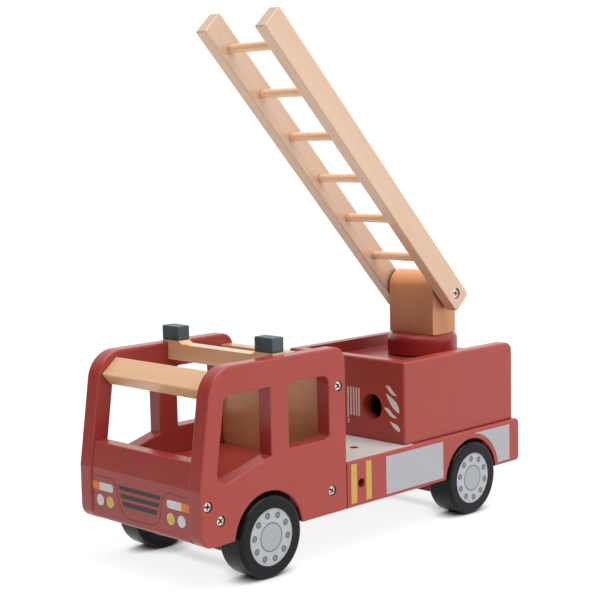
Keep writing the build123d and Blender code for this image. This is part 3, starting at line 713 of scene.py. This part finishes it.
print_marks("white_lamp_print", white_lamps, X, front_x, "white")
print_marks("amber_lamp_print", both_sides(amber_end), X, front_x, "amber")
print_marks("yellow_lamp_print", yellow_lamps, X, front_x, "lamp_yellow")
piece("yellow_lamp_rim_print", rims, "chassis", ink["hose_cream"])
print("lamps reach", LONG_OUTER_Y, "mm from the middle line")

# %% [markdown]
# ## Stripes and silver panels
#
# Both sides of the chassis carry two yellow stripes by the cab, a silver panel, and another one
# that stops short of the rear wheel along an arc. The arc shares its centre with the wheel, so
# it is worked out from the wheel's own place.

# %% Side prints
YELLOW_STRIPES = [(18.8, 23.7), (6.1, 10.8)]   # x from and to
STRIPE_Z = (28.5, 52.0)
SILVER_X = (-60.6, -7.1)
SILVER_Z = (28.3, 51.5)
REAR_SILVER_BACK = -129.1
WHEEL_CLEAR_R = 28.6                           # radius of the arc about the wheel's middle
ARC_TOP_BACK = 2.7                             # the arc's upper end, behind the wheel's middle
ARC_POINTS = 28
wheel_x, _, wheel_z = middle("rear_left_tyre") / MM
lowest = math.asin((SILVER_Z[LOW] - wheel_z) / WHEEL_CLEAR_R)
highest = math.acos(ARC_TOP_BACK / WHEEL_CLEAR_R)
turn = np.linspace(lowest, highest, ARC_POINTS)
arc = np.stack([wheel_x - WHEEL_CLEAR_R * np.cos(turn), wheel_z + WHEEL_CLEAR_R * np.sin(turn)], axis=1)
arc_top = arc[-1][1]
rear_silver = np.concatenate([arc, [(REAR_SILVER_BACK, arc_top), (REAR_SILVER_BACK, SILVER_Z[LOW])]])
for side, outward in (("left", 1), ("right", -1)):
    at = outward * side_y
    stripes = [bar(*x, *STRIPE_Z) for x in YELLOW_STRIPES]
    print_marks(f"{side}_stripe_print", stripes, Y, at, "yellow", outward)
    print_marks(f"{side}_silver_print", [bar(*SILVER_X, *SILVER_Z), rear_silver], Y, at, "silver", outward)
print(f"silver arc of radius {WHEEL_CLEAR_R} about x {wheel_x:.1f}, z {wheel_z:.1f} mm")

# %% [markdown]
# ## Hose and flames
#
# Beside the round hole in the box's front wall, five cream lines hang like a coiled hose with
# its nozzle, and four white flames lick up on the other side. A flame is a leaf: one curve from
# tip to tip along its upper edge and another one back along its lower edge.

# %% Box front prints
HOSE_LINES = [(2.9, 65.9), (5.35, 67.6), (7.75, 67.6), (10.1, 67.7), (12.3, 67.6)]   # y, z of lower end
HOSE_TOP = 85.8
HOSE_HALF = 0.625   # half the width of a line
HOSE_END_R = 0.6
NOZZLE = [(2.1, 65.1, 0.15), (3.8, 65.1, 0.15), (3.2, 62.2, 0.15), (2.7, 62.2, 0.15)]   # y, z, corner radius
hose = [rounded([(y - HOSE_HALF, low, HOSE_END_R), (y + HOSE_HALF, low, HOSE_END_R),
                 (y + HOSE_HALF, HOSE_TOP, HOSE_END_R), (y - HOSE_HALF, HOSE_TOP, HOSE_END_R)])
        for y, low in HOSE_LINES]
FLAMES = [  # upper tip, two pulls of the upper edge, lower tip, two pulls of the lower edge
    ((34.7, 89.5), (39.5, 91.0), (39.5, 85.6), (44.2, 84.5), (38.8, 82.6), (37.4, 87.9)),
    ((34.8, 85.0), (39.5, 82.5), (46.5, 80.0), (45.6, 73.5), (41.5, 74.6), (37.5, 79.0)),
    ((33.1, 75.6), (38.3, 77.0), (38.9, 71.8), (44.0, 70.7), (38.6, 68.4), (36.6, 73.4)),
    ((37.7, 67.4), (41.5, 66.9), (46.3, 66.2), (46.1, 62.0), (42.8, 61.8), (40.0, 65.0)),
]
flames = [np.concatenate([bent(tip, upper_1, upper_2, foot), bent(foot, lower_1, lower_2, tip)])
          for tip, upper_1, upper_2, foot, lower_1, lower_2 in FLAMES]
print_marks("hose_print", hose + [rounded(NOZZLE)], X, box_front_x, "hose_cream")
print_marks("flame_print", flames, X, box_front_x, "white")
print(len(hose), "hose lines and", len(flames), "flames")

# %% [markdown]
# ## Wheel nuts
#
# The hubs are plain grey discs, printed with ten nuts in a circle and a thin line round the
# middle. The prints turn with the wheel, so they ride on its wheelset.

# %% Hub prints
NUT_COUNT = 10
NUT_CIRCLE_R = 12.7
NUT_R = 1.9
NUT_CORE_R, NUT_CORE_POINTS = 0.95, 20
HUB_DISC_R = 7.675   # of the printed disc in the middle, where the thin line begins
HUB_LINE_WIDTH = 0.75
NUT_TURN = {"front": 6.5, "rear": 13.0}   # degrees from level to the first nut, as the wheels stopped
for end in ("front", "rear"):
    for side, outward in (("left", 1), ("right", -1)):
        node = f"{end}_{side}_hub"
        face = corners(node)[HIGH if outward > 0 else LOW][Y]
        a, _, b = middle(node) / MM
        turn = 2 * np.pi * np.arange(NUT_COUNT) / NUT_COUNT + math.radians(NUT_TURN[end])
        spots = np.stack([a + NUT_CIRCLE_R * np.cos(turn), b + NUT_CIRCLE_R * np.sin(turn)], axis=1)
        rings = [ink_ring(*spot, NUT_CORE_R, NUT_R, Y, face, outward) for spot in spots]
        cores = [ink_film(disc(*spot, NUT_CORE_R, NUT_CORE_POINTS), Y, face, outward) for spot in spots]
        line = ink_ring(a, b, HUB_DISC_R, HUB_DISC_R + HUB_LINE_WIDTH, Y, face, outward)
        inside = ink_film(disc(a, b, HUB_DISC_R), Y, face, outward)
        body = f"{end}_wheelset"
        name = f"{end}_{side}"
        piece(name + "_nut_ring_print", rings, body, ink["bolt_dark"])
        piece(name + "_nut_core_print", cores, body, ink["bolt_grey"])
        piece(name + "_hub_line_print", [line], body, ink["hub_line"])
        piece(name + "_hub_middle_print", [inside], body, ink["hub_centre"])
print("four hubs with", NUT_COUNT, "nuts each")

# %% [markdown]
# ## Screws
#
# Ten plated screws hold the panels and the ladder. A cross recess cut as a box would look like
# a toy of a toy: a real one is pressed with sloping walls, and the head is a shallow dome. The
# head is a height over a polar grid, and the recess is taken from it by a smooth cross.

# %% Cross-headed screws
HEAD_CROWN = 0.45 * MM     # how far the dome falls to its rim
RECESS_DEPTH = 1.0 * MM
RECESS_HALF = 0.52 * MM    # half width of a stroke of the cross
RECESS_REACH = 1.95 * MM   # length of a stroke from the middle
WALL_SLOPE = 0.22 * MM     # width of the sloping wall of the recess
HEAD_HEIGHT = 1.6 * MM
SHANK_SHARE = 0.6          # of the head's radius
HEAD_RINGS, HEAD_SPOKES = 30, 72
INNERMOST = 0.01           # radius of the first ring, as a share of the head's


def fall(value, edge, width):
    """1 inside the edge, 0 outside it, with a cubic step across the width."""
    share = np.clip((edge - value) / width + 0.5, 0, 1)
    return share * share * (3 - 2 * share)


def cross_stroke(beside, along):
    """1 in one of the cross's two strokes and 0 outside it, from distances beside and along it."""
    return fall(np.abs(beside), RECESS_HALF, WALL_SLOPE) * fall(np.abs(along), RECESS_REACH, WALL_SLOPE * 2)


def screw_skin(node, outward, turn):
    """Skin of a screw along Y in the frame node's place, and how deep each head point is recessed.

    The head's depth below its face is crown * (r / head radius)^2, plus the recess depth times
    the larger of the two strokes. A drop to the shank and the shank's end follow as three rings.
    """
    low, high = corners(node)
    middle_x, _, middle_z = middle(node)
    head_r = (high[X] - low[X]) / 2
    face = high[Y] if outward > 0 else low[Y]
    angle = np.linspace(0, 2 * np.pi, HEAD_SPOKES, endpoint=False)
    radius = head_r * np.linspace(INNERMOST, 1.0, HEAD_RINGS)
    a, b = np.outer(radius, np.cos(angle - turn)), np.outer(radius, np.sin(angle - turn))
    recess = np.maximum(cross_stroke(a, b), cross_stroke(b, a))
    depth = HEAD_CROWN * (radius / head_r)[:, None] ** 2 + RECESS_DEPTH * recess
    shank_r = SHANK_SHARE * head_r
    neck = np.array([(head_r, HEAD_HEIGHT), (shank_r, HEAD_HEIGHT), (shank_r, high[Y] - low[Y])])
    radius = np.concatenate([radius, neck[:, 0]])
    depth = np.concatenate([depth, np.repeat(neck[:, 1:], HEAD_SPOKES, axis=1)])
    rings = np.stack([middle_x + np.outer(radius, np.cos(angle)), face - outward * depth,
                      middle_z + np.outer(radius, np.sin(angle))], axis=-1)
    return carry(rings), recess


print("a head is drawn with", HEAD_RINGS * HEAD_SPOKES, "points")

# %% [markdown]
# ## Painted shade in the recesses
#
# The recess of a screw looks dark, because little light gets in, and that shade is painted into
# the steel. The polar grid already knows how deep each point lies, so that number is stored on
# the mesh and the steel reads it.

# %% Steel with painted shade in its recesses, and the ten screws
PLATE_DULL, PLATE_BRIGHT = (0.84, 0.78, 0.69, 1), (0.98, 0.94, 0.86, 1)
RECESS_PAINTED_SHADE = (0.02, 0.018, 0.016, 1)
SCREW_TURNS = {"front": 8, "chassis_front": 52, "chassis_rear": 33, "wall": 47, "pivot": 14}   # degrees
screw_steel, tree, shader, place = new_material("Plated_steel_screw")
recess_painted_shade = add(tree, "ShaderNodeAttribute", attribute_name="recess")
brushed = add(tree, "ShaderNodeTexNoise", {"Vector": place, "Scale": 900.0, "Detail": 3.0})
plate = blend_colour(tree, brushed.outputs["Fac"], PLATE_DULL, PLATE_BRIGHT)
# painted shade: the steel turns near black where the recess mask is 1
tree.links.new(blend_colour(tree, recess_painted_shade.outputs["Fac"], plate, RECESS_PAINTED_SHADE), shader.inputs["Base Color"])
rough = add(tree, "ShaderNodeMapRange", {"Value": brushed.outputs["Fac"], "To Min": 0.17, "To Max": 0.26})
tree.links.new(rough.outputs[0], shader.inputs["Roughness"])
shader.inputs["Metallic"].default_value = 0.6
for name, degrees in SCREW_TURNS.items():
    for side, outward in (("left", 1), ("right", -1)):
        node = f"{side}_{name}_screw"
        skin, recess = screw_skin(node, outward, math.radians(degrees * outward))
        body = "turntable" if name == "pivot" else "chassis"
        made = piece(f"{side}_{name}_cross_screw", [skin], body, screw_steel, [node], crease=50.0)
        level = np.zeros(len(made.data.vertices), np.float32)
        level[:recess.size] = recess.ravel()
        made.data.attributes.new("recess", "FLOAT", "POINT").data.foreach_set("value", level)
print("screws:", 2 * len(SCREW_TURNS))

# %% [markdown]
# ## Studio floor
#
# The toy stands on a white sweep that is lit so evenly that only its shadow tells where the
# floor is. It is one large square, and its paint does the rest.

# %% Floor square
HALF = 6.0
floor_mesh = bpy.data.meshes.new("studio_floor")
floor_mesh.from_pydata([(-HALF, -HALF, 0), (HALF, -HALF, 0), (HALF, HALF, 0), (-HALF, HALF, 0)],
                       [], [(0, 1, 2, 3)])
floor = bpy.data.objects.new("studio_floor", floor_mesh)
bpy.context.scene.collection.objects.link(floor)
print("floor is", 2 * HALF, "m wide")

# %% [markdown]
# ## Floor paint
#
# More light would bleach the toy too, so the floor itself is made to look white: for rays that
# show it directly it gives off a plain white of its own. That white fades out where ambient
# occlusion says that a tyre or the chassis is close, which paints a contact shadow there, and the
# true shadow shows through it. The sweep ends some way ahead of the toy, and what is mirrored in
# the toy beyond it is dark floor.

# %% White that gives way to the shadow
FLOOR_PLAIN = (0.80, 0.80, 0.80, 1)
FLOOR_SEEN = (0.16, 0.16, 0.16, 1)          # shows under the white, and carries the shadow
FLOOR_CLEAR = 0.89                          # strength of the white away from the toy
PAINTED_SHADOW_REACH = 15.0 * MM
FLOOR_ENDS_TOWARDS = (0.707, -0.707, 0.0)   # ahead of the toy and to its right
FLOOR_END, FLOOR_FADE = 0.75, 0.2           # metres from the toy, and over which it fades
floor_paint = bpy.data.materials.new("Studio_floor")
floor_paint.use_nodes = True
tree = floor_paint.node_tree
tree.nodes.clear()
ray = add(tree, "ShaderNodeLightPath").outputs
seen_or_mirrored = add(tree, "ShaderNodeMath", {0: ray["Is Camera Ray"], 1: ray["Is Glossy Ray"]},
                       operation="MAXIMUM")
direct = add(tree, "ShaderNodeMath", {0: seen_or_mirrored.outputs[0], 1: ray["Is Transmission Ray"]},
             operation="MAXIMUM")
# painted contact shadow: the white fades where ambient occlusion finds a tyre or the chassis close
painted_contact_shadow = add(tree, "ShaderNodeAmbientOcclusion", {"Distance": PAINTED_SHADOW_REACH}, samples=8)
clear = add(tree, "ShaderNodeMapRange",
            {"Value": painted_contact_shadow.outputs["AO"], "From Min": 0.15, "From Max": 0.72, "To Max": FLOOR_CLEAR})
spot = add(tree, "ShaderNodeTexCoord").outputs["Object"]
ahead = add(tree, "ShaderNodeVectorMath", {0: spot, 1: FLOOR_ENDS_TOWARDS}, operation="DOT_PRODUCT")
past_end = add(tree, "ShaderNodeMapRange",
               {"Value": ahead.outputs["Value"], "From Min": FLOOR_END, "From Max": FLOOR_END + FLOOR_FADE})
lost = add(tree, "ShaderNodeMath", {0: past_end.outputs[0], 1: ray["Is Glossy Ray"]}, operation="MULTIPLY")
shown = add(tree, "ShaderNodeMath", {0: direct.outputs[0], 1: lost.outputs[0]}, operation="SUBTRACT")
strength = add(tree, "ShaderNodeMath", {0: clear.outputs[0], 1: shown.outputs[0]},
               operation="MULTIPLY", use_clamp=True)
matt_colour = blend_colour(tree, direct.outputs[0], FLOOR_PLAIN, FLOOR_SEEN)
matt = add(tree, "ShaderNodeBsdfDiffuse", {"Color": matt_colour})
white = add(tree, "ShaderNodeEmission", {"Color": (1, 1, 1, 1), "Strength": strength.outputs[0]})
both = add(tree, "ShaderNodeAddShader", {0: matt.outputs[0], 1: white.outputs[0]})
add(tree, "ShaderNodeOutputMaterial", {"Surface": both.outputs[0]})
floor_mesh.materials.append(floor_paint)
print("white ends", FLOOR_END, "m ahead")

# %% [markdown]
# ## Soft box and sweep
#
# A very broad soft box stands beside and behind the toy's left shoulder, and the room ahead of
# the toy is dark. One background does both: it is brightest toward the soft box and fades with
# the angle from it. The white sweep rises behind the toy, where it lights nothing but is mirrored
# in paint and steel, so only glossy rays meet it. What looks past the toy, straight or through
# glass, sees plain white.

# %% World light
SOFT_BOX_TOWARDS = unit(np.array((-0.55, 0.80, 0.22)))
SWEEP_TOWARDS = unit(np.array((-0.7, -0.7, 0.1)))
ROOM, SOFT_BOX = 0.05, 1.38   # light of the dark room and of the soft box, where white is 1
world = bpy.data.worlds.new("Studio")
bpy.context.scene.world = world
world.use_nodes = True
tree = world.node_tree
tree.nodes.clear()
towards = add(tree, "ShaderNodeTexCoord").outputs["Generated"]
to_box = add(tree, "ShaderNodeVectorMath", {0: towards, 1: SOFT_BOX_TOWARDS}, operation="DOT_PRODUCT")
glow = add(tree, "ShaderNodeMapRange",
           {"Value": to_box.outputs["Value"], "From Min": 0.35, "From Max": 0.95, "To Min": ROOM,
            "To Max": SOFT_BOX}, interpolation_type="SMOOTHSTEP")
to_sweep = add(tree, "ShaderNodeVectorMath", {0: towards, 1: SWEEP_TOWARDS}, operation="DOT_PRODUCT")
sweep_white = add(tree, "ShaderNodeMapRange",
                  {"Value": to_sweep.outputs["Value"], "From Min": 0.15, "From Max": 0.65})
mirrored = add(tree, "ShaderNodeMath", {0: sweep_white.outputs[0], 1: glow.outputs[0]}, operation="MAXIMUM")
ray = add(tree, "ShaderNodeLightPath").outputs
bounced = add(tree, "ShaderNodeMapRange",
              {"Value": ray["Is Glossy Ray"], "To Min": glow.outputs[0], "To Max": mirrored.outputs[0]})
direct = add(tree, "ShaderNodeMath", {0: ray["Is Camera Ray"], 1: ray["Is Transmission Ray"]},
             operation="MAXIMUM")
strength = add(tree, "ShaderNodeMapRange",
               {"Value": direct.outputs[0], "To Min": bounced.outputs[0], "To Max": 1.0})
backdrop = add(tree, "ShaderNodeBackground", {"Color": (1, 1, 1, 1), "Strength": strength.outputs[0]})
add(tree, "ShaderNodeOutputWorld", {"Surface": backdrop.outputs[0]})
print("room", ROOM, "and soft box", SOFT_BOX)

# %% [markdown]
# ## Top light
#
# A broad light overhead lights the tops and draws the shadow between the wheels. It is a sun, and
# not a lamp nearby, because a sun lights the whole floor alike where a lamp would leave a pool.
# It spans a third of the way across the sky, so varnished wood that mirrors it doesn't glare.

# %% Broad sun overhead
TOP_SUN_TOWARDS = Vector((0.08, 0.16, 1.0))
TOP_SUN_POWER = 3.25
TOP_SUN_BREADTH = math.radians(60.0)
top_sun = bpy.data.lights.new("top_sun", "SUN")
top_sun.energy = TOP_SUN_POWER
top_sun.angle = TOP_SUN_BREADTH
holder = bpy.data.objects.new("top_sun", top_sun)
holder.rotation_mode = "QUATERNION"
holder.rotation_quaternion = TOP_SUN_TOWARDS.to_track_quat("Z", "Y")
bpy.context.scene.collection.objects.link(holder)
print("top light of power", TOP_SUN_POWER)

# %% [markdown]
# ## Camera
#
# The camera stands at the toy's front left corner, a little above it, on a long lens that keeps
# the boards' edges nearly parallel. Its axes are worked out from how far round, how high and how
# level it is, so each of the three can be changed alone.

# %% Camera
CAMERA_AT = (0.6143, 0.6097, 0.2440)
ROUND, RAISED, ROLL = (math.radians(angle) for angle in (135.26, 6.64, -1.23))
LENS, SENSOR = 85.016, 36.0   # focal length and sensor width in millimetres
NEAREST, FARTHEST = 0.01, 50.0
back = np.array([math.sin(ROUND) * math.cos(RAISED), -math.cos(ROUND) * math.cos(RAISED), math.sin(RAISED)])
right = np.array([math.cos(ROUND), math.sin(ROUND), 0.0])
up = np.cross(back, right)
camera_x = right * math.cos(ROLL) + up * math.sin(ROLL)
camera_y = -right * math.sin(ROLL) + up * math.cos(ROLL)
lens = bpy.data.cameras.new("camera")
lens.lens = LENS
lens.sensor_width = SENSOR
lens.clip_start, lens.clip_end = NEAREST, FARTHEST
camera = bpy.data.objects.new("camera", lens)
bpy.context.scene.collection.objects.link(camera)
axes = Matrix(np.stack([camera_x, camera_y, back], axis=1).tolist())
camera.matrix_world = Matrix.LocRotScale(Vector(CAMERA_AT), axes.to_quaternion(), None)
bpy.context.scene.camera = camera
bpy.context.scene.view_settings.view_transform = "Standard"
print("camera", [round(v, 3) for v in camera.location])
